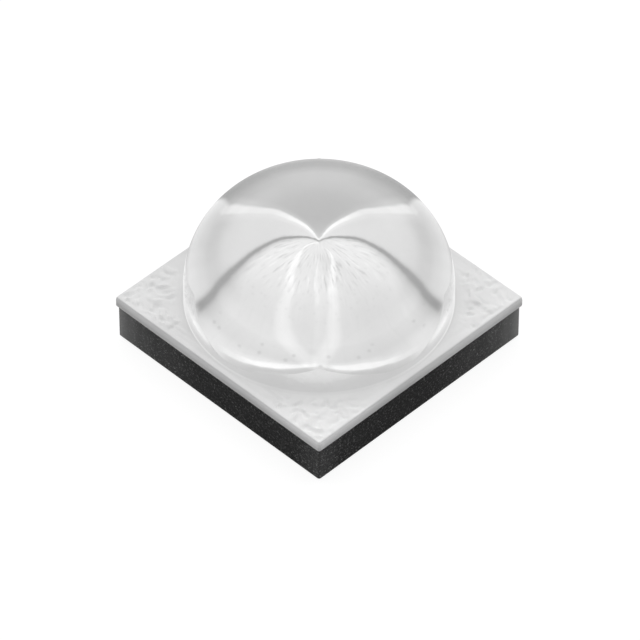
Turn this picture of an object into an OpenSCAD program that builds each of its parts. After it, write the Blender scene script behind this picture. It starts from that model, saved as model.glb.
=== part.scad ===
// High power light emitting diode in a square ceramic package: a dark ceramic slab, a white silicone
// film moulded over its top, a flip chip let into the film, and a clear silicone dome cast over both.
// The origin is the centre of the soldering side, at the lowest face of the solder pads. +Z is up.

/* [Package] */
// Width of the square package across the white film
package_w = 3.45; // [3:0.05:5]
// Corner radius of the white film, seen from above
film_corner_r = 0.1; // [0.06:0.01:0.4]
// Thickness of the white film above the copper traces
film_cover = 0.11; // [0.11:0.005:0.3]
// Radius of the film's soft upper edge
film_edge_r = 0.03; // [0.01:0.005:0.05]

/* [Ceramic slab] */
// How far the ceramic stands back under the film on each side
slab_inset = 0.025; // [0:0.005:0.06]
// Thickness of the ceramic
slab_t = 0.5; // [0.25:0.01:1]
// Corner radius of the ceramic, seen from above
slab_corner_r = 0.08; // [0.02:0.01:0.3]

/* [Dome lens] */
// Free border of film between the dome and each side of the package
dome_border = 0.105; // [0.05:0.005:0.5]
// Height of the dome's upright wall
dome_wall_h = 0.21; // [0.05:0.01:0.6]
// How much larger the arc over the crown is than the dome's own radius
crown_extra = 0.27; // [0.02:0.005:0.5]
// How far the centre of the arc between wall and crown stands off the dome's axis
shoulder_offset = 0.4; // [0.05:0.005:0.6]

/* [Corner dimples in the film] */
// Radius of the ball that each dimple is a cap of
dimple_ball_r = 0.4; // [0.2:0.01:0.45]
// Depth of a dimple
dimple_depth = 0.012; // [0.006:0.001:0.013]
// Distance between neighbouring dimples
dimple_pitch = 0.2; // [0.2:0.01:0.3]
// Distance from the dimples' centres to the dome and to the film's edge
dimple_border = 0.14; // [0.14:0.01:0.3]

/* [Top metal] */
// Thickness of the copper traces on top of the ceramic
trace_t = 0.03; // [0.01:0.005:0.06]
// Gap between the two traces
trace_gap = 0.14; // [0.08:0.01:0.2]
// Bare ceramic between the traces and each side of the slab
trace_border = 0.22; // [0.15:0.01:0.25]
// Corner radius of the traces
trace_corner_r = 0.2; // [0.05:0.01:0.4]

/* [Solder pads underneath] */
// Thickness of the pads
pad_t = 0.03; // [0.01:0.005:0.08]
// Bare ceramic between the pads and each side of the slab
pad_border = 0.1; // [0.05:0.01:0.2]
// Width of each electrical pad
pad_w = 0.5; // [0.45:0.01:0.6]
// Gap between an electrical pad and the thermal pad
pad_gap = 0.35; // [0.15:0.01:0.6]
// Corner radius of the pads
pad_corner_r = 0.06; // [0.02:0.01:0.15]
// Leg of the cut corner that marks the cathode pad
mark_leg = 0.18; // [0.1:0.01:0.25]

/* [Vias through the ceramic] */
// Radius of each copper filled via
via_r = 0.06; // [0.03:0.005:0.09]
// Distance from one via to the next
via_pitch = 0.55; // [0.3:0.01:0.65]

/* [Light emitting chip] */
// Width of the square chip
chip_w = 1.15; // [0.8:0.05:1.5]
// Thickness of the sapphire
sapphire_t = 0.08; // [0.05:0.005:0.15]
// Thickness of the light emitting crystal layer under the sapphire
layer_t = 0.01; // [0.006:0.001:0.02]
// Thickness of the chip's two metal contacts
contact_t = 0.01; // [0.006:0.001:0.02]
// How far each contact stands back from the gap between the traces
contact_setback = 0.03; // [0.01:0.005:0.08]
// How far the contacts stay inside the chip's edge
contact_inset = 0.05; // [0.02:0.01:0.1]
// Thickness of the solder under the contacts and under the protection diode
solder_t = 0.01; // [0.005:0.001:0.02]
// How far the solder stays inside the contacts' edges
solder_inset = 0.02; // [0:0.005:0.04]

/* [Protection diode] */
// Length of the diode, across the gap between the traces
diode_l = 0.36; // [0.3:0.01:0.5]
// Width of the diode
diode_w = 0.24; // [0.15:0.01:0.35]
// Thickness of the diode
diode_t = 0.07; // [0.04:0.005:0.08]
// How far the diode's solder stands back from the gap between the traces
diode_setback = 0.02; // [0:0.005:0.03]
// Free space between the chip and the diode
diode_spacing = 0.2; // [0.1:0.01:0.3]

/* [Hidden] */
$fn = 96;

// Number of vias under each trace, as many as are named above
via_count = 4;

// Side of the package on which each electrode lies, along X
anode_side = 1;
cathode_side = -1;

// Heights of the layers, from the solder pads up
film_t = trace_t + film_cover;
slab_z = pad_t;
trace_z = slab_z + slab_t;
film_top_z = trace_z + film_t;
solder_z = trace_z + trace_t;
contact_z = solder_z + solder_t;
layer_z = contact_z + contact_t;
sapphire_z = layer_z + layer_t;
chip_top_z = sapphire_z + sapphire_t;
diode_z = solder_z + solder_t;

// Plan sizes that follow from the ones above
slab_w = package_w - 2 * slab_inset;
pad_l = slab_w - 2 * pad_border;
pad_x = (pad_l - pad_w) / 2;
thermal_pad_w = pad_l - 2 * (pad_w + pad_gap);
trace_l = slab_w - 2 * trace_border;
trace_w = (trace_l - trace_gap) / 2;
trace_x = (trace_gap + trace_w) / 2;
contact_gap = trace_gap + 2 * contact_setback;
contact_w = (chip_w - contact_gap) / 2 - contact_inset;
contact_l = chip_w - 2 * contact_inset;
contact_x = (contact_gap + contact_w) / 2;
diode_y = chip_w / 2 + diode_spacing + diode_w / 2;
diode_solder_l = (diode_l - trace_gap) / 2 - diode_setback;
diode_solder_x = (diode_l - diode_solder_l) / 2;

// The dome's section is a wall, a shoulder arc and a crown arc, each tangent to the next
dome_r = package_w / 2 - dome_border;
shoulder_r = dome_r - shoulder_offset;
crown_r = dome_r + crown_extra;
centres_apart = crown_r - shoulder_r;
crown_drop = sqrt(pow(centres_apart, 2) - pow(shoulder_offset, 2));
crown_z = dome_wall_h - crown_drop;
blend_x = shoulder_offset * crown_r / centres_apart;
blend_z = crown_z + crown_drop * crown_r / centres_apart;

// The dimples lie in rows across each corner's diagonal
half_diagonal = package_w / sqrt(2);
first_row = dome_r + dimple_border;
last_row = half_diagonal - dimple_border * sqrt(2);

// A length that a cut runs past the face that it opens
past = 0.01;
// Faces nearer to each other than this count as level
level = 0.001;

// Upright block with rounded corners, standing on z = 0 around the Z axis
module round_block(w, l, h, r) {
    linear_extrude(height = h) union() {
        square([w - 2 * r, l], center = true);
        square([w, l - 2 * r], center = true);
        for (x = [-1, 1], y = [-1, 1])
            translate([x * (w / 2 - r), y * (l / 2 - r)])
                circle(r = r);
    }
}

// Plain block standing on z = 0 around the Z axis
module plain_block(w, l, h) {
    translate([-w / 2, -l / 2, 0])
        cube([w, l, h]);
}

// Copper via number i of one electrode, as long as the ceramic is thick
module via(side, i) {
    translate([side * pad_x, (i - (via_count - 1) / 2) * via_pitch, slab_z])
        cylinder(r = via_r, h = slab_t);
}

// Trace of one electrode on top of the ceramic
module trace(side) {
    translate([side * trace_x, 0, trace_z])
        round_block(trace_w, trace_l, trace_t, trace_corner_r);
}

// Electrical pad of one electrode, under the ceramic
module electrical_pad(side) {
    translate([side * pad_x, 0, 0])
        round_block(pad_w, pad_l, pad_t, pad_corner_r);
}

// Contact of one electrode on the chip's lower face
module chip_contact(side) {
    translate([side * contact_x, 0, contact_z])
        plain_block(contact_w, contact_l, contact_t);
}

// Solder between one contact of the chip and its trace
module chip_solder(side) {
    translate([side * contact_x, 0, solder_z])
        plain_block(contact_w - 2 * solder_inset, contact_l - 2 * solder_inset, solder_t);
}

// Solder under one end of the protection diode
module diode_solder(side) {
    translate([side * diode_solder_x, diode_y, solder_z])
        plain_block(diode_solder_l, diode_w, solder_t);
}

// The whole chip's outline from its crystal layer to a height above it
module chip_prism(h) {
    translate([0, 0, layer_z])
        plain_block(chip_w, chip_w, h);
}

// White film before anything is let into it: flat underneath, with a soft upper edge
module film_blank() {
    side = package_w / 2;
    straight = package_w - 2 * film_corner_r;
    edge_z = film_t - film_edge_r;
    round_block(package_w, package_w, edge_z, film_corner_r);
    round_block(package_w - 2 * film_edge_r, package_w - 2 * film_edge_r, film_t, film_corner_r - film_edge_r);
    for (a = [0 : 90 : 270]) rotate([0, 0, a]) {
        translate([side - film_edge_r, straight / 2, edge_z])
            rotate([90, 0, 0])
                cylinder(r = film_edge_r, h = straight);
        translate([side - film_corner_r, side - film_corner_r, edge_z])
            rotate_extrude()
                translate([film_corner_r - film_edge_r, 0])
                    circle(r = film_edge_r);
    }
}

// Shallow caps of balls, in rows that get shorter towards each corner of the film
module corner_dimples() {
    for (a = [45 : 90 : 315], u = [first_row : dimple_pitch : last_row]) {
        reach = last_row - u;
        steps = floor(2 * reach / dimple_pitch);
        for (k = [0 : steps])
            rotate([0, 0, a])
                translate([u, (k - steps / 2) * dimple_pitch, film_top_z + dimple_ball_r - dimple_depth])
                    sphere(r = dimple_ball_r);
    }
}

// Half section of the dome, right of its axis, standing on its flat underside
module dome_half_section() {
    square([dome_r, dome_wall_h]);
    intersection() {
        translate([shoulder_offset, dome_wall_h]) circle(r = shoulder_r);
        square([dome_r + past, blend_z]);
    }
    intersection() {
        translate([0, crown_z]) circle(r = crown_r);
        translate([0, dome_wall_h]) square([blend_x, crown_r]);
    }
}

module ceramic_substrate() {
    color("#2c2c2e")
        difference() {
            translate([0, 0, slab_z])
                round_block(slab_w, slab_w, slab_t, slab_corner_r);
            for (side = [anode_side, cathode_side], i = [0 : via_count - 1])
                via(side, i);
        }
}

module anode_pad() {
    color("#d9b45c")
        electrical_pad(anode_side);
}

module cathode_pad() {
    color("#d9b45c")
        difference() {
            electrical_pad(cathode_side);
            translate([cathode_side * (pad_x + pad_w / 2), pad_l / 2, -past])
                rotate([0, 0, 45])
                    plain_block(mark_leg * sqrt(2), mark_leg * sqrt(2), pad_t + 2 * past);
        }
}

module thermal_pad() {
    color("#d9b45c")
        round_block(thermal_pad_w, pad_l, pad_t, pad_corner_r);
}

module anode_via(i) {
    color("#b87333")
        via(anode_side, i);
}

module cathode_via(i) {
    color("#b87333")
        via(cathode_side, i);
}

module anode_trace() {
    color("#d9b45c")
        trace(anode_side);
}

module cathode_trace() {
    color("#d9b45c")
        trace(cathode_side);
}

module chip_anode_solder() {
    color("#a8a9ad")
        chip_solder(anode_side);
}

module chip_cathode_solder() {
    color("#a8a9ad")
        chip_solder(cathode_side);
}

module chip_anode_contact() {
    color("#e6c878")
        chip_contact(anode_side);
}

module chip_cathode_contact() {
    color("#e6c878")
        chip_contact(cathode_side);
}

module chip_light_layer() {
    color("#cfd3c8")
        chip_prism(layer_t);
}

module chip_sapphire() {
    color("#e6eaec")
        translate([0, 0, layer_t])
            chip_prism(sapphire_t);
}

module diode_anode_solder() {
    color("#a8a9ad")
        diode_solder(anode_side);
}

module diode_cathode_solder() {
    color("#a8a9ad")
        diode_solder(cathode_side);
}

module protection_diode() {
    color("#4a4d55")
        translate([0, diode_y, diode_z])
            plain_block(diode_l, diode_w, diode_t);
}

module reflector_film() {
    color("#e4e4e4")
        difference() {
            translate([0, 0, trace_z]) film_blank();
            for (side = [anode_side, cathode_side]) {
                trace(side);
                chip_solder(side);
                chip_contact(side);
                diode_solder(side);
            }
            chip_prism(film_t);
            protection_diode();
            corner_dimples();
        }
}

module dome_lens() {
    color("#f4f6f8", 0.4)
        difference() {
            union() {
                translate([0, 0, film_top_z])
                    rotate_extrude() dome_half_section();
                // Silicone over a chip that lies below the film's top
                if (film_top_z - chip_top_z > level)
                    translate([0, 0, chip_top_z])
                        plain_block(chip_w, chip_w, film_top_z - chip_top_z + past);
            }
            // Pocket for a chip that stands above the film's top
            if (chip_top_z - film_top_z > level)
                chip_prism(layer_t + sapphire_t);
        }
}

ceramic_substrate();
anode_pad();
cathode_pad();
thermal_pad();
for (i = [0 : via_count - 1]) {
    anode_via(i);
    cathode_via(i);
}
anode_trace();
cathode_trace();
chip_anode_solder();
chip_cathode_solder();
chip_anode_contact();
chip_cathode_contact();
chip_light_layer();
chip_sapphire();
diode_anode_solder();
diode_cathode_solder();
protection_diode();
reflector_film();
dome_lens();
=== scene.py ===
import math

import bmesh
import bpy
from mathutils import Matrix, Vector, noise


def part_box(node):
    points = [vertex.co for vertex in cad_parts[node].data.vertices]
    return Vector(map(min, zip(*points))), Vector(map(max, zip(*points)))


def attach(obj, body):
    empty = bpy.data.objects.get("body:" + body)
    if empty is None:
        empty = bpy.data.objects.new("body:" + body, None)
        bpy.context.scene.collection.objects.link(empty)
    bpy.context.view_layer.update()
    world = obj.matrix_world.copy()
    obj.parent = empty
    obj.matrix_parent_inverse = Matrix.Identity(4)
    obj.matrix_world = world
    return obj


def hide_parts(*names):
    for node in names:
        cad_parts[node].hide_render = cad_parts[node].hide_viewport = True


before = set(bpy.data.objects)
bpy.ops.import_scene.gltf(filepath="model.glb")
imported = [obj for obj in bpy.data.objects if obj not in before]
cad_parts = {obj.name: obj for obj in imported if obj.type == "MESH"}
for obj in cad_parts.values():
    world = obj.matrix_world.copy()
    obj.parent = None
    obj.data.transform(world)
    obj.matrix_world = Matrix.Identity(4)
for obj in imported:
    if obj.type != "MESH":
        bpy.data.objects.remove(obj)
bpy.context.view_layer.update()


# Ceramic slab
# The real base is a plate of dark sintered ceramic, snapped out of a larger tile along scored lines.
# It carries everything else. Its sides are matt and full of fine pale grains. Painted light makes them paler
# towards the front and back tips and towards the side corners.
mm = 0.001
slab_low, slab_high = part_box("ceramic_substrate")
slab_corner_radius = 0.03 * mm
slab_edge_radius = 0.012 * mm


def block_between(low, high):
    """A bmesh block that fills the box between two corners."""
    made = bmesh.new()
    bmesh.ops.create_cube(made, size=1.0)
    size = Vector(high) - Vector(low)
    bmesh.ops.scale(made, vec=size, verts=made.verts)
    bmesh.ops.translate(made, vec=(Vector(high) + Vector(low)) / 2, verts=made.verts)
    return made


def upright_edges(made):
    """The edges of a mesh that stand straight up."""
    found = []
    for edge in made.edges:
        run = edge.verts[1].co - edge.verts[0].co
        if abs(run.z) > 0.9 * run.length:
            found.append(edge)
    return found


def edges_at_height(made, height):
    """The edges that lie flat at one height."""
    near = 0.001 * mm
    return [e for e in made.edges if all(abs(v.co.z - height) < near for v in e.verts)]


def round_edges(made, edges, radius, segments):
    """Rounds edges of a mesh off with a bevel."""
    bmesh.ops.bevel(
        made, geom=edges, offset=radius, offset_type="OFFSET", affect="EDGES",
        segments=segments, profile=0.5, material=-1,
    )


def finished_piece(made, name, replaced):
    """Makes a bmesh into a smooth shaded object that rides on the part in place of its CAD nodes."""
    mesh = bpy.data.meshes.new(name)
    made.to_mesh(mesh)
    made.free()
    mesh.shade_smooth()
    piece = bpy.data.objects.new(name, mesh)
    bpy.context.scene.collection.objects.link(piece)
    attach(piece, "root")
    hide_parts(*replaced)
    return piece


def even_normals(piece):
    """Keeps broad flat faces flat in the shading beside their rounded edges."""
    weighting = piece.modifiers.new("even_normals", "WEIGHTED_NORMAL")
    weighting.keep_sharp = True
    weighting.weight = 100


slab_mesh = block_between(slab_low, slab_high)
round_edges(slab_mesh, upright_edges(slab_mesh), slab_corner_radius, segments=8)
rims = edges_at_height(slab_mesh, slab_low.z) + edges_at_height(slab_mesh, slab_high.z)
round_edges(slab_mesh, rims, slab_edge_radius, segments=3)
slab = finished_piece(slab_mesh, "ceramic_slab", ["ceramic_substrate"])
even_normals(slab)


def new_material(name):
    """A new material, with its node tree and its Principled shader."""
    material = bpy.data.materials.new(name)
    material.use_nodes = True
    tree = material.node_tree
    return material, tree, tree.nodes["Principled BSDF"]


def millimetre_coordinates(tree):
    """Object coordinates counted in millimetres, so that patterns are sized as on the real part."""
    place = tree.nodes.new("ShaderNodeTexCoord")
    scale = tree.nodes.new("ShaderNodeMapping")
    scale.inputs["Scale"].default_value = (1 / mm, 1 / mm, 1 / mm)
    tree.links.new(place.outputs["Object"], scale.inputs["Vector"])
    return scale.outputs["Vector"]


def noise_pattern(tree, vector, scale, detail, roughness=0.5):
    """A noise texture on the given coordinates."""
    pattern = tree.nodes.new("ShaderNodeTexNoise")
    pattern.inputs["Scale"].default_value = scale
    pattern.inputs["Detail"].default_value = detail
    pattern.inputs["Roughness"].default_value = roughness
    tree.links.new(vector, pattern.inputs["Vector"])
    return pattern.outputs["Fac"]


def value_ramp(tree, source, stops, interpolation="LINEAR"):
    """Turns a value into greys or colours by a list of (position, colour) stops."""
    ramp = tree.nodes.new("ShaderNodeValToRGB")
    ramp.color_ramp.interpolation = interpolation
    elements = ramp.color_ramp.elements
    while len(elements) > 1:
        elements.remove(elements[-1])
    elements[0].position = stops[0][0]
    elements[0].color = (*stops[0][1], 1)
    for position, colour in stops[1:]:
        element = elements.new(position)
        element.color = (*colour, 1)
    tree.links.new(source, ramp.inputs["Fac"])
    return ramp.outputs["Color"]


def grey(value):
    """A grey colour of one linear value."""
    return (value, value, value)


def bump_from(tree, height, depth):
    """A normal from a height pattern that is depth metres tall."""
    bump = tree.nodes.new("ShaderNodeBump")
    bump.inputs["Distance"].default_value = depth
    tree.links.new(height, bump.inputs["Height"])
    return bump.outputs["Normal"]


def math_node(tree, operation, first, second=0.0):
    """A Math node on two values or sockets."""
    node = tree.nodes.new("ShaderNodeMath")
    node.operation = operation
    for index, value in enumerate((first, second)):
        if isinstance(value, (int, float)):
            node.inputs[index].default_value = value
        else:
            tree.links.new(value, node.inputs[index])
    return node.outputs["Value"]


def plus(tree, first, second):
    """The sum of two values or sockets."""
    return math_node(tree, "ADD", first, second)


def minus(tree, first, second):
    """The first value or socket less the second."""
    return math_node(tree, "SUBTRACT", first, second)


def times(tree, first, second):
    """The product of two values or sockets."""
    return math_node(tree, "MULTIPLY", first, second)


def over(tree, first, second):
    """The first value or socket divided by the second."""
    return math_node(tree, "DIVIDE", first, second)


def size_of(tree, value):
    """A value without its sign."""
    return math_node(tree, "ABSOLUTE", value)


def mix_by(tree, share, first, second):
    """Mixes two values by a share from 0 to 1."""
    return plus(tree, times(tree, first, minus(tree, 1.0, share)), times(tree, second, share))


def curve_over(tree, source, low, high, points, interpolation="EASE"):
    """A value that follows (place, value) points as the source runs from low to high."""
    share = over(tree, minus(tree, source, low), high - low)
    top = max(value for place, value in points)
    stops = [((place - low) / (high - low), grey(value / top)) for place, value in points]
    return times(tree, value_ramp(tree, share, stops, interpolation), top)


def tinted(tree, colour, strength):
    """A colour made lighter or darker by a value."""
    product = tree.nodes.new("ShaderNodeVectorMath")
    product.operation = "SCALE"
    tree.links.new(colour, product.inputs["Vector"])
    tree.links.new(strength, product.inputs["Scale"])
    return product.outputs["Vector"]


def split_axes(tree, vector):
    """The x, y and z of a vector."""
    split = tree.nodes.new("ShaderNodeSeparateXYZ")
    tree.links.new(vector, split.inputs["Vector"])
    return split.outputs["X"], split.outputs["Y"], split.outputs["Z"]


ceramic, tree, shader = new_material("dark_ceramic")
place = millimetre_coordinates(tree)
grains = noise_pattern(tree, place, scale=42.0, detail=4.0, roughness=0.7)
grain_colour = value_ramp(tree, grains, [
    (0.40, grey(0.004)), (0.52, grey(0.016)), (0.60, grey(0.055)), (0.70, grey(0.30)),
])
x, y = split_axes(tree, place)[:2]
to_corner = size_of(tree, plus(tree, x, y))
# Painted light: the sides are made paler near the front and back tips and towards the side corners.
painted_corner_light = curve_over(tree, to_corner, 0.0, 4.0, [
    (0.0, 1.5), (0.15, 1.4), (0.3, 1.3), (0.9, 0.87), (1.8, 0.80), (2.4, 1.1), (2.9, 1.1), (3.3, 0.5),
])
# Painted highlight: a pale wash added towards the side corners.
painted_corner_highlight = curve_over(tree, to_corner, 0.0, 4.0, [
    (0.0, 0.05), (0.15, 0.03), (0.4, 0.0), (2.0, 0.0), (2.7, 0.045), (3.0, 0.10), (3.2, 0.19), (3.4, 0.36),
])
grains_with_painted_light = plus(tree, times(tree, grain_colour, painted_corner_light), painted_corner_highlight)
tree.links.new(grains_with_painted_light, shader.inputs["Base Color"])
tree.links.new(bump_from(tree, grains, depth=0.006 * mm), shader.inputs["Normal"])
shader.inputs["Roughness"].default_value = 0.8
shader.inputs["Specular IOR Level"].default_value = 0.12
slab.data.materials.append(ceramic)


# Solder pads
# Three pads of copper plated onto the underside, with a thin gold finish. The wide one in the middle
# carries heat only. The cathode's pad has a cut corner as its mark.
gold, tree, shader = new_material("gold_finish")
place = millimetre_coordinates(tree)
plating = noise_pattern(tree, place, scale=30.0, detail=3.0)
plating_colour = value_ramp(tree, plating, [(0.3, (0.78, 0.56, 0.24)), (0.7, (0.86, 0.65, 0.31))])
tree.links.new(plating_colour, shader.inputs["Base Color"])
plating_gloss = value_ramp(tree, plating, [(0.3, grey(0.28)), (0.7, grey(0.42))])
tree.links.new(plating_gloss, shader.inputs["Roughness"])
tree.links.new(bump_from(tree, plating, depth=0.002 * mm), shader.inputs["Normal"])
shader.inputs["Metallic"].default_value = 1.0


def dress_node(name, material):
    """Gives a CAD node its finished material."""
    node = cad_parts[name]
    node.data.materials.clear()
    node.data.materials.append(material)


for pad_name in ("anode_pad", "cathode_pad", "thermal_pad"):
    dress_node(pad_name, gold)


# Vias and traces
# Copper that was plated into drilled holes and onto the ceramic's top, and joins the chip's two sides
# to the pads. It is gold finished where the chip and the diode are soldered on.
copper, tree, shader = new_material("plated_copper")
place = millimetre_coordinates(tree)
copper_grain = noise_pattern(tree, place, scale=60.0, detail=2.0)
copper_colour = value_ramp(tree, copper_grain, [(0.3, (0.66, 0.33, 0.17)), (0.7, (0.76, 0.42, 0.24))])
tree.links.new(copper_colour, shader.inputs["Base Color"])
shader.inputs["Metallic"].default_value = 1.0
shader.inputs["Roughness"].default_value = 0.4
for electrode in ("anode", "cathode"):
    dress_node(electrode + "_trace", gold)
    for number in range(1, 5):
        dress_node(f"{electrode}_via_{number}", copper)


# Chip, diode and their solder
# The chip is a plate of sapphire with a thin crystal layer and two metal contacts beneath, soldered face
# down. Through the dome it looks as white as the film. The diode beside it is silicon, buried in the film.
solder, tree, shader = new_material("reflowed_solder")
place = millimetre_coordinates(tree)
solder_grain = noise_pattern(tree, place, scale=50.0, detail=3.0)
solder_colour = value_ramp(tree, solder_grain, [(0.3, grey(0.55)), (0.7, grey(0.66))])
tree.links.new(solder_colour, shader.inputs["Base Color"])
shader.inputs["Metallic"].default_value = 1.0
shader.inputs["Roughness"].default_value = 0.45
for joint_name in ("chip_anode_solder", "chip_cathode_solder", "diode_anode_solder", "diode_cathode_solder"):
    dress_node(joint_name, solder)

contact_metal, tree, shader = new_material("contact_metal")
place = millimetre_coordinates(tree)
contact_grain = noise_pattern(tree, place, scale=80.0, detail=2.0)
contact_colour = value_ramp(tree, contact_grain, [(0.3, (0.80, 0.68, 0.42)), (0.7, (0.88, 0.76, 0.48))])
tree.links.new(contact_colour, shader.inputs["Base Color"])
shader.inputs["Metallic"].default_value = 1.0
shader.inputs["Roughness"].default_value = 0.25
dress_node("chip_anode_contact", contact_metal)
dress_node("chip_cathode_contact", contact_metal)

silicon, tree, shader = new_material("silicon")
place = millimetre_coordinates(tree)
silicon_grain = noise_pattern(tree, place, scale=40.0, detail=2.0)
silicon_colour = value_ramp(tree, silicon_grain, [(0.3, (0.08, 0.08, 0.10)), (0.7, (0.12, 0.12, 0.14))])
tree.links.new(silicon_colour, shader.inputs["Base Color"])
shader.inputs["Roughness"].default_value = 0.2
dress_node("protection_diode", silicon)

crystal, tree, shader = new_material("chip_crystal")
place = millimetre_coordinates(tree)
crystal_grain = noise_pattern(tree, place, scale=2.2, detail=3.0)
crystal_colour = value_ramp(tree, crystal_grain, [(0.3, grey(0.735)), (0.7, grey(0.785))])
tree.links.new(crystal_colour, shader.inputs["Base Color"])
shader.inputs["Roughness"].default_value = 0.42
shader.inputs["IOR"].default_value = 1.41
dress_node("chip_light_layer", crystal)
dress_node("chip_sapphire", crystal)


# White film
# White silicone moulded round the chip and over the traces, which throws the chip's light upwards.
# It came off its mould with soft edges, and its four corners shrank into little ripples.
film_low, film_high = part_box("reflector_film")
chip_low, chip_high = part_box("chip_sapphire")
film_corner_radius = 0.035 * mm
top_edge_radius = 0.024 * mm
top_edge_stretch = 2.6
foot_edge_radius = top_edge_radius / 2
ripple_pitch = 0.018 * mm
ripple_inner = 0.86 * mm
ripple_outer = film_high.x - 0.024 * mm
dome_low, dome_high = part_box("dome_lens")
dome_radius = dome_high.x

film_mesh = block_between(film_low, film_high)
round_edges(film_mesh, upright_edges(film_mesh), film_corner_radius, segments=12)
bmesh.ops.scale(film_mesh, vec=(1, 1, 1 / top_edge_stretch), verts=film_mesh.verts)
top_edges = edges_at_height(film_mesh, film_high.z / top_edge_stretch)
round_edges(film_mesh, top_edges, top_edge_radius, segments=8)
bmesh.ops.scale(film_mesh, vec=(1, 1, top_edge_stretch), verts=film_mesh.verts)
round_edges(film_mesh, edges_at_height(film_mesh, film_low.z), foot_edge_radius, segments=2)
cuts = [chip_low.x, chip_high.x]
cut_place = ripple_inner
while cut_place < ripple_outer:
    cuts += [cut_place, -cut_place]
    cut_place += ripple_pitch
for cut_place in cuts:
    for axis in (Vector((1, 0, 0)), Vector((0, 1, 0))):
        bmesh.ops.bisect_plane(
            film_mesh, geom=[*film_mesh.verts, *film_mesh.edges, *film_mesh.faces],
            dist=0.0001 * mm, plane_co=axis * cut_place, plane_no=axis,
        )
over_chip = []
for face in film_mesh.faces:
    middle = face.calc_center_median()
    if max(abs(middle.x), abs(middle.y)) < chip_high.x and abs(face.normal.z) > 0.9:
        over_chip.append(face)
window_edges = [edge for face in over_chip for edge in face.edges]
bmesh.ops.delete(film_mesh, geom=over_chip, context="FACES_ONLY")
bmesh.ops.bridge_loops(film_mesh, edges=window_edges)
sharp_angle = math.radians(60)
for edge in film_mesh.edges:
    if edge.is_valid and len(edge.link_faces) == 2 and edge.calc_face_angle() > sharp_angle:
        edge.smooth = False


def smooth_step(low, high, value):
    """0 below low, 1 above high, and a soft rise between them."""
    share = min(1.0, max(0.0, (value - low) / (high - low)))
    return share * share * (3 - 2 * share)


wave_height = 0.010
pit_depth = 0.020
knob_height = 0.016
shrinkage = 0.006
warp_density = 3.1
warp_reach = 0.12
wave_density = 6.5
pit_density = 11.0
knob_density = 9.0


def corner_ripple(spot):
    """Height of the film's ripples at a spot on its top: none near the dome and along the edges."""
    from_dome = math.hypot(spot.x, spot.y) - dome_radius
    from_edge = film_high.x - max(abs(spot.x), abs(spot.y))
    strength = smooth_step(0.05 * mm, 0.18 * mm, from_dome)
    strength *= smooth_step(0.022 * mm, 0.08 * mm, from_edge)
    if strength == 0.0:
        return 0.0
    at = Vector((spot.x / mm, spot.y / mm, 0.0))
    # Each pattern is read at a shift of its own, so that no two of them look alike.
    warp_across = noise.noise(at * warp_density)
    warp_along = noise.noise(at * warp_density + Vector((7, 3, 1)))
    warp = Vector((warp_across, warp_along, 0.0)) * warp_reach
    waves = noise.noise((at + warp) * wave_density)
    pits = smooth_step(0.02, 0.36, noise.noise((at + warp) * pit_density + Vector((3, 8, 2))))
    knobs = smooth_step(0.02, 0.36, noise.noise((at + warp) * knob_density + Vector((9, 1, 5))))
    return strength * (wave_height * waves - pit_depth * pits + knob_height * knobs - shrinkage) * mm


for vert in film_mesh.verts:
    if vert.co.z > film_high.z - 0.001 * mm:
        vert.co.z += corner_ripple(vert.co)
film = finished_piece(film_mesh, "white_film", ["reflector_film"])
even_normals(film)


def square_distance(tree, x, y):
    """How far out a spot lies on a square plate, as the greater of its two level distances."""
    return math_node(tree, "MAXIMUM", size_of(tree, x), size_of(tree, y))


def mirrored_rays(tree, light_path):
    """1 for a ray that a surface mirrors, unless it has gone through clear silicone."""
    not_through = minus(tree, 1.0, light_path.outputs["Is Transmission Ray"])
    return times(tree, light_path.outputs["Is Glossy Ray"], not_through)


white_silicone, tree, shader = new_material("white_silicone")
place = millimetre_coordinates(tree)
cloudiness = noise_pattern(tree, place, scale=2.2, detail=3.0)
film_colour = value_ramp(tree, cloudiness, [(0.3, grey(0.75)), (0.7, grey(0.80))])
skin = noise_pattern(tree, place, scale=26.0, detail=3.0)
tree.links.new(bump_from(tree, skin, depth=0.0016 * mm), shader.inputs["Normal"])
shader.inputs["Roughness"].default_value = 0.42
shader.inputs["IOR"].default_value = 1.41

level_place = tree.nodes.new("ShaderNodeVectorMath")
level_place.operation = "MULTIPLY"
level_place.inputs[1].default_value = (1, 1, 0)
tree.links.new(place, level_place.inputs[0])
from_middle = tree.nodes.new("ShaderNodeVectorMath")
from_middle.operation = "LENGTH"
tree.links.new(level_place.outputs["Vector"], from_middle.inputs[0])
x, y, z = split_axes(tree, place)
to_front = minus(tree, x, y)
to_right = plus(tree, x, y)
# Painted shade and light in the film's colour: a painted shadow makes it a little darker round the dome's
# foot, and painted light makes it lighter towards its front and right corners and on its upright sides.
foot_shade = curve_over(tree, from_middle.outputs["Value"], 1.5, 2.5, [
    (1.60, 1.0), (1.63, 0.84), (1.66, 0.89), (1.72, 0.92), (1.90, 0.95), (2.15, 0.97),
])
front_gleam = curve_over(tree, to_front, -4.0, 4.0, [(2.4, 1.0), (2.8, 1.12), (3.3, 1.15)])
right_gleam = curve_over(tree, to_right, -4.0, 4.0, [(1.8, 1.0), (2.5, 1.05)])
at_rim = curve_over(tree, square_distance(tree, x, y), 1.5, 1.8, [(1.66, 0.0), (1.70, 1.0)])
side_gleam = curve_over(tree, z, 0.5, 0.75, [
    (0.54, 0.0), (0.57, 0.03), (0.59, 0.10), (0.61, 0.22), (0.64, 0.22), (0.66, 0.0),
])
side_gleam = plus(tree, times(tree, side_gleam, at_rim), 1.0)
film_shade = times(tree, times(tree, foot_shade, times(tree, front_gleam, right_gleam)), side_gleam)
tree.links.new(tinted(tree, film_colour, film_shade), shader.inputs["Base Color"])
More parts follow.
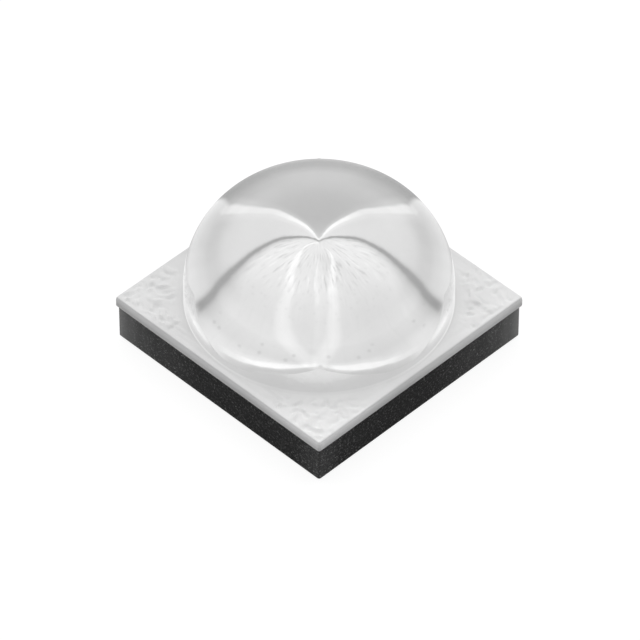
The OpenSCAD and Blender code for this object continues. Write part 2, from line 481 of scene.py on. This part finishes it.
# Painted glow that only mirrored rays see, which the dome mirrors: a ring round the foot, bright at the
# sides, and the front corner.
foot_glow_ring = curve_over(tree, from_middle.outputs["Value"], 1.6, 2.6, [
    (1.66, 0.0), (1.69, 0.15), (1.74, 0.6), (1.80, 0.5), (1.90, 0.25), (2.0, 0.15), (2.4, 0.2),
])
at_sides = curve_over(tree, to_front, -4.0, 4.0, [
    (0.15, 0.0), (0.45, 0.35), (0.70, 1.0), (1.15, 1.1), (1.45, 0.0),
])
corner_glow = curve_over(tree, to_front, -4.0, 4.0, [
    (2.40, 0.25), (2.50, 0.35), (2.62, 0.65), (2.72, 0.80), (2.97, 0.92),
])
painted_glow = plus(tree, times(tree, foot_glow_ring, at_sides), corner_glow)
light_path = tree.nodes.new("ShaderNodeLightPath")
mirrored = mirrored_rays(tree, light_path)
tree.links.new(times(tree, mirrored, painted_glow), shader.inputs["Emission Strength"])
shader.inputs["Emission Color"].default_value = (1, 1, 1, 1)
film.data.materials.append(white_silicone)


# Dome lens
# Clear silicone cast over the chip and the film in one piece: a short upright wall, then a shoulder and a
# crown that are each an arc. Its polished mould leaves it as glossy as glass.
wall_height = 0.21 * mm
crown_extra = 0.27 * mm
shoulder_offset = 0.4 * mm
dome_sink = 0.01 * mm
crown_steps = 36
shoulder_steps = 40
around_steps = 192

crown_radius = dome_radius + crown_extra
shoulder_radius = dome_radius - shoulder_offset
crown_angle = math.asin(shoulder_offset / (crown_radius - shoulder_radius))
crown_centre = Vector((0, 0, dome_high.z - crown_radius))
wall_top = dome_low.z + wall_height


def sweep_vertex(made, vertex, centre, angle, steps):
    """Carries a vertex round a centre in the XZ plane, leaving an arc, and returns the arc's end."""
    swept = bmesh.ops.spin(
        made, geom=[vertex], cent=centre, axis=(0, 1, 0), angle=angle, steps=steps, use_merge=False,
    )
    return [item for item in swept["geom_last"] if isinstance(item, bmesh.types.BMVert)][0]


def draw_on(made, vertex, target):
    """Draws a straight edge from a vertex to a target point and returns its far end."""
    drawn = bmesh.ops.extrude_vert_indiv(made, verts=[vertex])
    drawn["verts"][0].co = target
    return drawn["verts"][0]


dome_mesh = bmesh.new()
tip = dome_mesh.verts.new((0, 0, dome_high.z))
tip = sweep_vertex(dome_mesh, tip, crown_centre, crown_angle, crown_steps)
shoulder_centre = (shoulder_offset, 0, wall_top)
tip = sweep_vertex(dome_mesh, tip, shoulder_centre, math.pi / 2 - crown_angle, shoulder_steps)
foot = dome_low.z - dome_sink
for share in (0.75, 0.5, 0.25, 0.0):
    tip = draw_on(dome_mesh, tip, (dome_radius, 0, foot + (wall_top - foot) * share))
tip = draw_on(dome_mesh, tip, (0, 0, foot))
bmesh.ops.spin(
    dome_mesh, geom=[*dome_mesh.verts, *dome_mesh.edges], cent=(0, 0, 0), axis=(0, 0, 1),
    angle=2 * math.pi, steps=around_steps, use_merge=True,
)
bmesh.ops.remove_doubles(dome_mesh, verts=dome_mesh.verts, dist=0.0005 * mm)
bmesh.ops.recalc_face_normals(dome_mesh, faces=dome_mesh.faces)
dome = finished_piece(dome_mesh, "clear_dome", ["dome_lens"])
# Its clear silicone lets the soft light through to the film, so it casts no shadow there.
dome.visible_shadow = False
dome.visible_diffuse = False

clear_silicone, tree, shader = new_material("clear_silicone")
# The grey base colour is painted shade: it dims the film seen through the dome, in place of a shadow.
shader.inputs["Base Color"].default_value = (0.44, 0.44, 0.44, 1)
shader.inputs["Roughness"].default_value = 0.0
shader.inputs["IOR"].default_value = 1.41
shader.inputs["Transmission Weight"].default_value = 1.0
shader.inputs["Specular IOR Level"].default_value = 1.0
shader.inputs["Coat Weight"].default_value = 1.0
shader.inputs["Coat IOR"].default_value = 2.3
shader.inputs["Coat Roughness"].default_value = 0.0
dome.data.materials.append(clear_silicone)


# Studio tent
# A white tent round the part, lit from outside. Polished surfaces mirror its walls: a bright one in front,
# one at each side and a darker one behind. Dark seams part the front from the sides, bright ones the back.
camera_turn = math.radians(45)
to_degrees = 180 / math.pi
lowest = -30.0
overhead = 90.0

tent = bpy.data.node_groups.new("tent_light", "ShaderNodeTree")
tent.interface.new_socket("Direction", in_out="INPUT", socket_type="NodeSocketVector")
tent.interface.new_socket("Light", in_out="OUTPUT", socket_type="NodeSocketFloat")
entry = tent.nodes.new("NodeGroupInput")
turned = tent.nodes.new("ShaderNodeVectorRotate")
turned.rotation_type = "Z_AXIS"
turned.inputs["Angle"].default_value = -camera_turn
tent.links.new(entry.outputs["Direction"], turned.inputs["Vector"])
sideways, backwards, upwards = split_axes(tent, turned.outputs["Vector"])
bearing = math_node(tent, "ARCTAN2", sideways, times(tent, backwards, -1.0))
bearing = times(tent, bearing, to_degrees)
turn = size_of(tent, bearing)
elevation = times(tent, math_node(tent, "ARCSINE", upwards), to_degrees)


def up_the_tent(points, interpolation="EASE"):
    """A value that follows (degrees above level, value) points, from below the part to overhead."""
    return curve_over(tent, elevation, lowest, overhead, points, interpolation)


# The front wall. Three brighter strips on it run upwards, and two of them over to the back.
front_across = curve_over(tent, bearing, -100.0, 100.0, [
    (-90.0, 2.22), (-70.0, 2.07), (-22.0, 2.12), (-12.0, 2.02), (0.0, 2.15), (25.0, 1.97), (40.0, 1.87),
    (60.0, 1.92), (90.0, 2.2),
])
front_up = up_the_tent([
    (-28.0, 0.78), (-20.0, 0.92), (-17.0, 0.88), (-14.0, 0.82), (-8.0, 0.88), (-3.0, 0.93), (0.0, 1.0),
    (20.0, 0.96), (32.0, 0.98), (45.0, 1.06), (55.0, 1.12), (65.0, 1.18), (75.0, 1.16), (82.0, 1.12),
    (90.0, 1.08),
], "LINEAR")
front_wall = times(tent, front_across, front_up)
left_strip = up_the_tent([
    (-20.0, 0.0), (-17.0, 4.0), (-13.0, 8.0), (-8.0, 13.0), (-3.0, 19.0), (2.0, 24.0), (15.0, 29.0),
    (30.0, 34.0), (50.0, 38.0), (55.0, 41.0), (60.0, 46.0), (65.0, 55.0), (70.0, 67.0), (74.0, 79.0),
    (76.5, 92.0), (78.0, 110.0), (79.5, 150.0), (81.0, 190.0),
], "CARDINAL")
left_glow = up_the_tent([(50.0, 1.0), (62.0, 1.1), (75.0, 1.6), (80.5, 1.4), (82.0, 0.0)])
right_strip = up_the_tent([
    (-18.0, 0.0), (-12.0, 1.5), (-6.0, 4.5), (0.0, 8.0), (10.0, 11.5), (30.0, 13.0), (45.0, 16.0),
    (55.0, 18.0), (65.0, 23.0), (70.0, 30.0), (74.0, 38.0), (77.5, 50.0), (80.0, 66.0), (81.5, 84.0),
    (83.0, 125.0), (84.0, 170.0),
], "CARDINAL")
right_glow = up_the_tent([
    (48.0, 1.0), (56.0, 1.15), (66.0, 1.6), (80.0, 1.8), (83.0, 1.4), (84.2, 0.0),
])
middle_strip = up_the_tent([(10.0, 1.0), (50.0, 2.0), (80.0, 8.0)])
middle_glow = up_the_tent([(8.0, 0.0), (16.0, 0.15), (44.0, 0.2), (52.0, 0.7)])
strip_width = up_the_tent([
    (-20.0, 6.0), (-8.0, 12.0), (2.0, 13.0), (20.0, 11.0), (50.0, 10.0), (65.0, 14.0), (80.0, 22.0),
])
for strip_place, sign, width_share, glow in (
    (left_strip, 1.0, 1.0, left_glow), (right_strip, -1.0, 0.8, right_glow),
    (middle_strip, 1.0, 0.4, middle_glow),
):
    from_strip = plus(tent, bearing, times(tent, strip_place, sign))
    from_strip = over(tent, size_of(tent, from_strip), strip_width)
    from_strip = over(tent, from_strip, width_share)
    strip = curve_over(tent, from_strip, 0.0, 1.0, [(0.0, 0.6), (0.3, 0.5), (1.0, 0.0)])
    front_wall = plus(tent, front_wall, times(tent, strip, glow))

# The side walls and the back wall. Low down each is uneven across, and higher up it is even.
side_up = up_the_tent([
    (-30.0, 0.7), (-24.0, 0.95), (-20.0, 1.3), (-14.0, 1.45), (-6.0, 1.45), (0.0, 1.3), (10.0, 1.3),
    (15.0, 1.42), (20.0, 1.58), (25.0, 1.68), (32.0, 1.8), (50.0, 1.85), (60.0, 1.95), (72.0, 2.2),
], "LINEAR")
side_across = curve_over(tent, turn, 90.0, 180.0, [
    (100.0, 1.0), (110.0, 0.97), (120.0, 0.84), (130.0, 0.74), (140.0, 0.72), (150.0, 0.75),
])
evenness = up_the_tent([(4.0, 0.0), (22.0, 1.0)])
side_wall = times(tent, side_up, mix_by(tent, evenness, side_across, 1.0))
back_wall = up_the_tent([
    (-24.0, 0.72), (-18.0, 0.62), (-14.0, 0.58), (-10.0, 0.48), (-5.0, 0.50), (-1.0, 0.66), (5.0, 0.88),
    (15.0, 0.95), (25.0, 0.90), (35.0, 0.76), (45.0, 0.68), (58.0, 0.62), (64.0, 0.72), (70.0, 0.92),
    (76.0, 1.3),
], "LINEAR")
back_across = curve_over(tent, turn, 90.0, 180.0, [(150.0, 0.62), (160.0, 0.76), (172.0, 1.0)])
back_wall = times(tent, back_wall, mix_by(tent, evenness, back_across, 1.0))

# The dark seams lean back, meet a little behind overhead, and end in light at the bottom.
dark_seam_place = up_the_tent([
    (-20.0, 91.5), (-10.0, 92.0), (-3.0, 94.3), (0.0, 96.0), (12.0, 96.1), (20.0, 96.7), (25.0, 97.8),
    (30.0, 98.9), (35.0, 101.2), (40.0, 104.0), (45.0, 107.7), (50.0, 111.7), (55.0, 117.2), (60.0, 124.0),
    (64.0, 129.2), (68.0, 135.7), (72.0, 147.0), (76.0, 162.0), (79.0, 180.0), (84.0, 200.0),
], "CARDINAL")
past_dark = minus(tent, turn, dark_seam_place)
fade_width = up_the_tent([(-20.0, 0.8), (5.0, 0.8), (18.0, 0.9), (35.0, 0.6), (45.0, 0.5)])
in_front = curve_over(tent, over(tent, past_dark, fade_width), -40.0, 10.0, [
    (-28.0, 1.0), (-17.0, 0.84), (-10.0, 0.62), (-6.5, 0.44), (-3.7, 0.14), (-2.2, 0.0),
], "LINEAR")
at_side = curve_over(tent, past_dark, -10.0, 20.0, [
    (1.3, 0.0), (2.5, 0.2), (4.0, 0.62), (6.0, 0.92), (9.0, 1.0),
], "LINEAR")
seam_end = up_the_tent([(-24.0, 1.1), (-21.5, 0.75), (-19.0, 0.2), (-17.0, 0.0)])
in_seam = minus(tent, minus(tent, 1.0, in_front), at_side)
in_seam = math_node(tent, "POWER", math_node(tent, "MAXIMUM", in_seam, 0.0), 2.0)
walls_light = plus(tent, times(tent, front_wall, in_front), times(tent, side_wall, at_side))
walls_light = plus(tent, walls_light, times(tent, in_seam, seam_end))

# The bright seams between the side walls and the back wall
bright_seam_place = up_the_tent([
    (-20.0, 151.0), (-4.0, 150.5), (5.0, 149.8), (12.0, 148.5), (18.0, 147.9), (30.0, 148.8),
    (35.0, 150.4), (40.0, 152.0), (45.0, 153.2), (50.0, 154.8), (55.0, 157.0), (60.0, 160.2),
    (64.0, 163.5), (68.0, 167.0), (72.0, 171.0), (76.0, 177.0), (80.0, 190.0),
], "CARDINAL")
past_bright = minus(tent, turn, bright_seam_place)
behind = curve_over(tent, past_bright, -20.0, 20.0, [(-1.5, 0.0), (1.5, 1.0)])
seam_glow = curve_over(tent, past_bright, -20.0, 20.0, [
    (-12.0, 0.0), (-6.5, 0.3), (-4.0, 1.0), (-1.5, 1.0), (1.5, 0.35), (6.0, 0.0),
])
seam_strength = up_the_tent([
    (-14.0, 0.0), (-6.0, 0.1), (0.0, 0.5), (8.0, 0.9), (15.0, 0.8), (25.0, 0.45), (40.0, 0.5),
    (48.0, 0.8), (55.0, 1.15), (66.0, 1.35), (76.0, 0.9), (82.0, 0.0),
])
light = mix_by(tent, behind, walls_light, back_wall)
light = plus(tent, light, times(tent, seam_glow, seam_strength))

# Fine folds in the front wall run out from the point where the seams meet. It has small dark specks too.
meeting_point = 0.225
folds_around = 0.32
folds_outward = 6.0
speck_spacing = 12.0
towards_front = minus(tent, meeting_point, backwards)
fold_reach = plus(tent, times(tent, sideways, sideways), times(tent, towards_front, towards_front))
fold_reach = math_node(tent, "POWER", fold_reach, 0.5)
fold_angle = times(tent, math_node(tent, "ARCTAN2", sideways, towards_front), to_degrees)
fold_place = tent.nodes.new("ShaderNodeCombineXYZ")
tent.links.new(times(tent, fold_angle, folds_around), fold_place.inputs["X"])
tent.links.new(times(tent, fold_reach, folds_outward), fold_place.inputs["Y"])
folds = noise_pattern(tent, fold_place.outputs["Vector"], scale=1.0, detail=1.0)
fold_shade = value_ramp(tent, folds, [
    (0.30, grey(0.66)), (0.42, grey(1.0)), (0.56, grey(1.0)), (0.70, grey(1.18)),
])
fold_strength = curve_over(tent, fold_reach, 0.0, 1.0, [
    (0.02, 0.9), (0.12, 1.2), (0.25, 1.05), (0.55, 1.0), (0.80, 0.3), (1.0, 0.1),
])
speck_place = tent.nodes.new("ShaderNodeCombineXYZ")
tent.links.new(over(tent, bearing, speck_spacing), speck_place.inputs["X"])
tent.links.new(over(tent, elevation, speck_spacing), speck_place.inputs["Y"])
specks = tent.nodes.new("ShaderNodeTexVoronoi")
specks.voronoi_dimensions = "2D"
specks.inputs["Scale"].default_value = 1.0
specks.inputs["Randomness"].default_value = 0.9
tent.links.new(speck_place.outputs["Vector"], specks.inputs["Vector"])
speck_shade = value_ramp(tent, specks.outputs["Distance"], [(0.08, grey(0.74)), (0.15, grey(1.0))])
speckled = up_the_tent([(-19.0, 0.0), (-16.0, 1.0), (-8.0, 1.0), (-4.0, 0.1), (20.0, 0.1), (35.0, 0.4)])
speck_shade = mix_by(tent, speckled, 1.0, speck_shade)
marks = times(tent, mix_by(tent, fold_strength, 1.0, fold_shade), speck_shade)
before_seam = math_node(tent, "LESS_THAN", past_dark, 0.0)
light = times(tent, light, mix_by(tent, before_seam, 1.0, marks))
result = tent.nodes.new("NodeGroupOutput")
tent.links.new(light, result.inputs["Light"])


# Floor
# A plain white sweep under the part. It is lit like the part, keeps its shadow, and is as white as paper.
# Polished surfaces see a painted glow on it instead: the tent's light, with a painted shadow near the part
# and a painted bright line where that shadow ends.
floor_reach = 0.4
dome_middle = 1.2
floor_tone = 0.18
floor_glow = 0.07
floor_whiteness = 0.88

floor_mesh = bmesh.new()
bmesh.ops.create_grid(floor_mesh, x_segments=1, y_segments=1, size=floor_reach)
floor_data = bpy.data.meshes.new("floor")
floor_mesh.to_mesh(floor_data)
floor_mesh.free()
floor = bpy.data.objects.new("floor", floor_data)
bpy.context.scene.collection.objects.link(floor)


def tent_walls(tree, direction):
    """The tent's light from a direction."""
    walls = tree.nodes.new("ShaderNodeGroup")
    walls.node_tree = tent
    tree.links.new(direction, walls.inputs["Direction"])
    return walls.outputs["Light"]


def seen_rays(tree, light_path):
    """1 for a ray from the camera, straight or through clear silicone."""
    camera_rays = light_path.outputs["Is Camera Ray"]
    return math_node(tree, "MAXIMUM", camera_rays, light_path.outputs["Is Transmission Ray"])


def swap_by_ray(tree, mirrored, plain, glow, output):
    """Shows one shader as it is, and another where it is mirrored."""
    by_ray = tree.nodes.new("ShaderNodeMixShader")
    tree.links.new(mirrored, by_ray.inputs["Fac"])
    tree.links.new(plain, by_ray.inputs[1])
    tree.links.new(glow, by_ray.inputs[2])
    tree.links.new(by_ray.outputs["Shader"], output.inputs["Surface"])


floor_white, tree, shader = new_material("floor_white")
place = millimetre_coordinates(tree)
# The floor carries on the tent's walls as they look from the dome's middle, so many millimetres up.
from_dome = tree.nodes.new("ShaderNodeVectorMath")
from_dome.operation = "SUBTRACT"
from_dome.inputs[1].default_value = (0, 0, dome_middle)
tree.links.new(place, from_dome.inputs[0])
direction = tree.nodes.new("ShaderNodeVectorMath")
direction.operation = "NORMALIZE"
tree.links.new(from_dome.outputs["Vector"], direction.inputs[0])

# Painted shade and light in the floor's mirrored glow: a bright line past a shaded strip, both on the
# camera's side only.
x, y = split_axes(tree, place)[:2]
to_front = minus(tree, x, y)
to_right = plus(tree, x, y)
line_place = curve_over(tree, to_front, 0.0, 8.0, [
    (0.0, 1.75), (0.85, 2.05), (1.7, 2.40), (2.65, 2.72), (3.45, 2.95), (4.15, 3.12), (4.65, 3.25),
    (5.5, 3.3),
], "CARDINAL")
line_width = curve_over(tree, to_front, 0.0, 8.0, [(0.8, 0.4), (2.2, 0.6), (3.2, 0.6), (4.65, 1.0)])
nearer = curve_over(tree, to_right, -4.0, 4.0, [(-1.5, 0.0), (0.9, 0.2), (1.8, 0.1), (2.5, 0.0)])
past_line = plus(tree, minus(tree, square_distance(tree, x, y), line_place), nearer)
past_line = over(tree, past_line, line_width)
shaded = curve_over(tree, past_line, -1.0, 1.0, [(-0.75, 0.64), (-0.5, 0.56), (-0.3, 0.72), (-0.1, 1.0)])
shaded = mix_by(tree, curve_over(tree, to_front, 0.0, 4.0, [(1.2, 0.0), (2.0, 1.0)]), 1.0, shaded)
painted_bright_line = curve_over(tree, past_line, -1.0, 1.0, [
    (-0.35, 0.0), (-0.1, 0.65), (0.14, 0.6), (0.45, 0.15), (0.9, 0.0),
])
painted_bright_line = times(tree, painted_bright_line, curve_over(tree, to_front, 0.0, 4.0, [(1.2, 0.0), (2.2, 0.4), (3.2, 1.0)]))
beside_front = size_of(tree, to_right)
painted_bright_line = times(tree, painted_bright_line, curve_over(tree, beside_front, 0.0, 2.0, [(0.0, 0.0), (0.4, 0.3), (1.1, 1.0)]))
floor_light = times(tree, tent_walls(tree, direction.outputs["Vector"]), plus(tree, shaded, painted_bright_line))

light_path = tree.nodes.new("ShaderNodeLightPath")
glow = mix_by(tree, seen_rays(tree, light_path), floor_glow, floor_whiteness)
tree.links.new(glow, shader.inputs["Emission Strength"])
shader.inputs["Emission Color"].default_value = (1, 1, 1, 1)
shader.inputs["Base Color"].default_value = (floor_tone, floor_tone, floor_tone, 1)
shader.inputs["Roughness"].default_value = 1.0
shader.inputs["Specular IOR Level"].default_value = 0.0
mirror_glow = tree.nodes.new("ShaderNodeEmission")
tree.links.new(floor_light, mirror_glow.inputs["Strength"])
swap_by_ray(
    tree, mirrored_rays(tree, light_path), shader.outputs["BSDF"], mirror_glow.outputs["Emission"],
    tree.nodes["Material Output"],
)
floor.data.materials.append(floor_white)


# Light
# The tent's even glow, brightest overhead and a little brighter from behind, lights the part softly from all
# round. Polished surfaces mirror the tent's walls in its place, and the camera sees plain white.
light_overhead = 1.05
light_behind = 0.36
light_around = 0.25

world = bpy.data.worlds.new("tent")
bpy.context.scene.world = world
world.use_nodes = True
tree = world.node_tree
background = tree.nodes["Background"]
direction = tree.nodes.new("ShaderNodeTexCoord")
x, y, z = split_axes(tree, direction.outputs["Generated"])
from_above = times(tree, math_node(tree, "MAXIMUM", z, 0.0), light_overhead)
from_behind = times(tree, minus(tree, y, x), light_behind)
soft_light = plus(tree, plus(tree, from_above, from_behind), light_around)
soft_light = math_node(tree, "MAXIMUM", soft_light, 0.0)
light_path = tree.nodes.new("ShaderNodeLightPath")
tree.links.new(mix_by(tree, seen_rays(tree, light_path), soft_light, 1.0), background.inputs["Strength"])
background.inputs["Color"].default_value = (1, 1, 1, 1)
mirror_glow = tree.nodes.new("ShaderNodeBackground")
mirror_glow.inputs["Color"].default_value = (1, 1, 1, 1)
tree.links.new(tent_walls(tree, direction.outputs["Generated"]), mirror_glow.inputs["Strength"])
swap_by_ray(
    tree, mirrored_rays(tree, light_path), background.outputs["Background"],
    mirror_glow.outputs["Background"], tree.nodes["World Output"],
)


# Camera
# It looks down at 45 degrees on one corner of the part through a long lens, so that the far and the near
# edges of the film come out almost equally long.
camera_distance = 75 * mm
lens_length = 353.7
plate_above_centre = 23.2
plate_left_of_centre = 0.9
picture_width = 640
sensor_width = 36.0

camera_data = bpy.data.cameras.new("camera")
camera_data.lens = lens_length
camera_data.sensor_width = sensor_width
camera_data.clip_start = 1 * mm
camera_data.clip_end = 2.0
camera_data.dof.use_dof = False
camera = bpy.data.objects.new("camera", camera_data)
bpy.context.scene.collection.objects.link(camera)
level_back = Vector((math.sin(camera_turn), -math.cos(camera_turn), 0))
rise = math.radians(45)
back = level_back * math.cos(rise) + Vector((0, 0, math.sin(rise)))
facing = (-back).to_track_quat("-Z", "Y")
pixel = camera_distance * sensor_width / lens_length / picture_width
plate_centre = Vector((0, 0, film_high.z))
aim_shift = facing @ Vector((plate_left_of_centre * pixel, -plate_above_centre * pixel, 0))
camera.rotation_mode = "QUATERNION"
camera.rotation_quaternion = facing
camera.location = plate_centre + aim_shift + back * camera_distance
bpy.context.scene.camera = camera
bpy.context.scene.view_settings.view_transform = "Standard"
